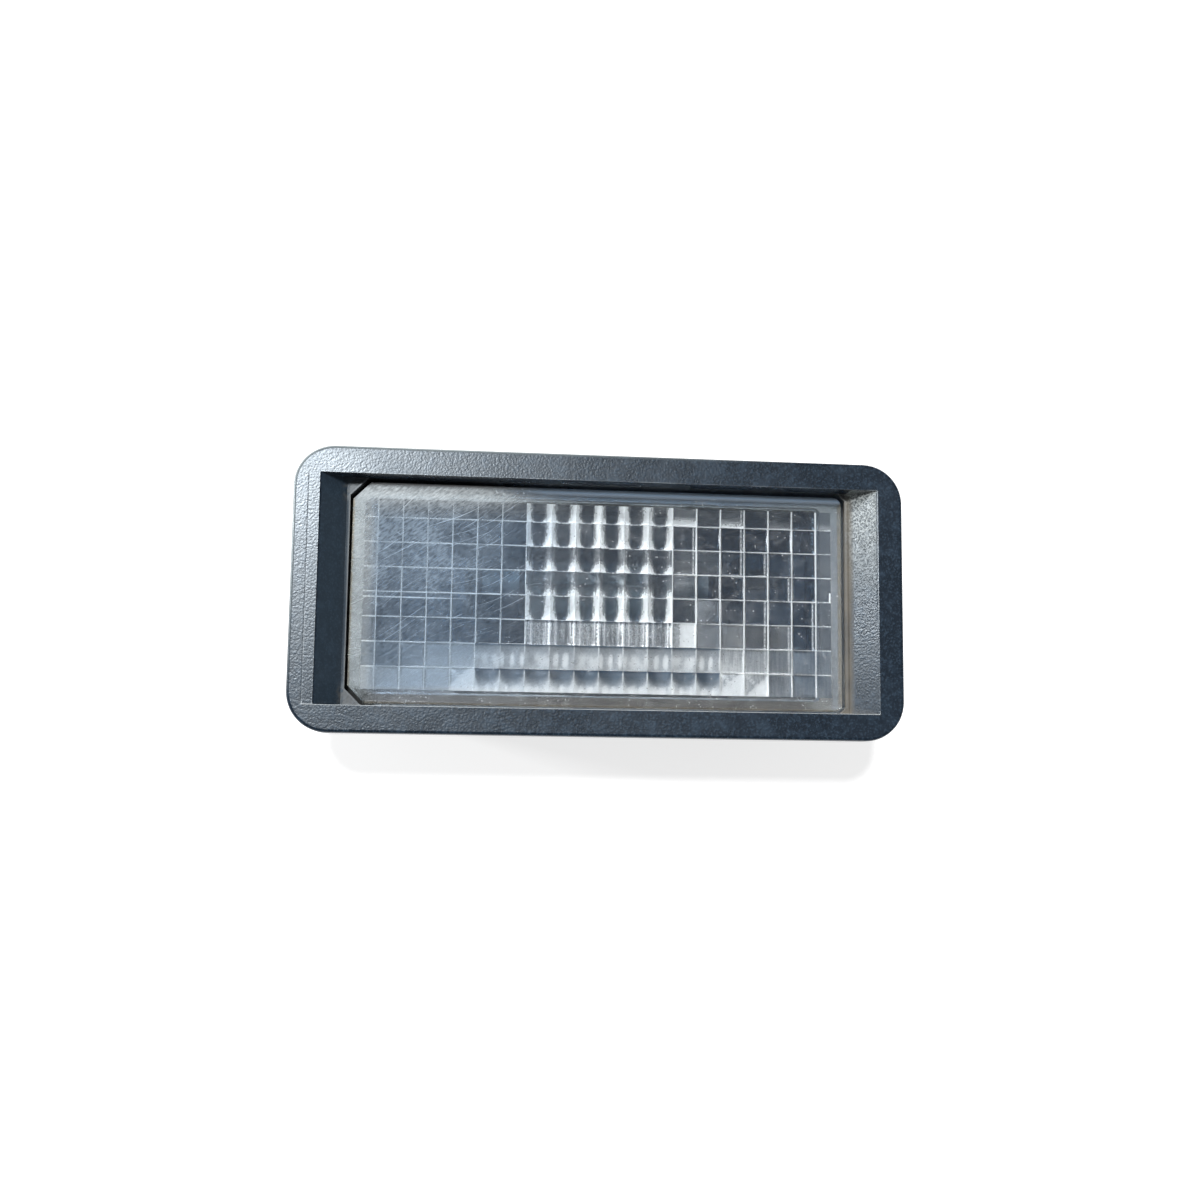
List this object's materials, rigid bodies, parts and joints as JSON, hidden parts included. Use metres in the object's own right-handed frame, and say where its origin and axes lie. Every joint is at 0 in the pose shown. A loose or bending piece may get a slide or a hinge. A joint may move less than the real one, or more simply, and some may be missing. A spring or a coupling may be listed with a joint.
{
  "type": "number plate lamp",
  "caption": "Snap-in number plate lamp: black flanged housing with a sunk clear prism lens, a festoon bulb on a rear cover, fixed hooks at one end and a retaining spring at the other.",
  "frame": {"origin": "centre of the flange's rear face, the plane that seats on the panel", "axes": "+Z out of the lens, +X along the lamp towards the fixed hooks, +Y across it"},
  "size_m": [0.084, 0.0386, 0.0238],
  "materials": {
    "housing_plastic": "fine grain, weathered",
    "lens_clear": "clear, scratched",
    "lens_adhesive": "matt",
    "reflector_sheet": "bright",
    "bulb_glass": "clear",
    "bulb_cap": "nickel plated",
    "filament_wire": "dull",
    "lead_wire": "dull",
    "contact_strip": "tinned",
    "carrier_plastic": "satin",
    "carrier_rubber": "matt",
    "spring_steel": "rolled"
  },
  "bodies": {
    "root": {"housing": "housing_plastic", "lens": "lens_clear", "lens_seal": "lens_adhesive", "reflector": "reflector_sheet", "bulb_glass": "bulb_glass", "bulb_cap_left": "bulb_cap", "bulb_cap_right": "bulb_cap", "bulb_filament": "filament_wire", "bulb_lead_left": "lead_wire", "bulb_lead_right": "lead_wire", "contact_left": "contact_strip", "contact_right": "contact_strip", "bulb_carrier": "carrier_plastic", "carrier_seal": "carrier_rubber", "retaining_spring": "spring_steel"}
  },
  "joints": []
}
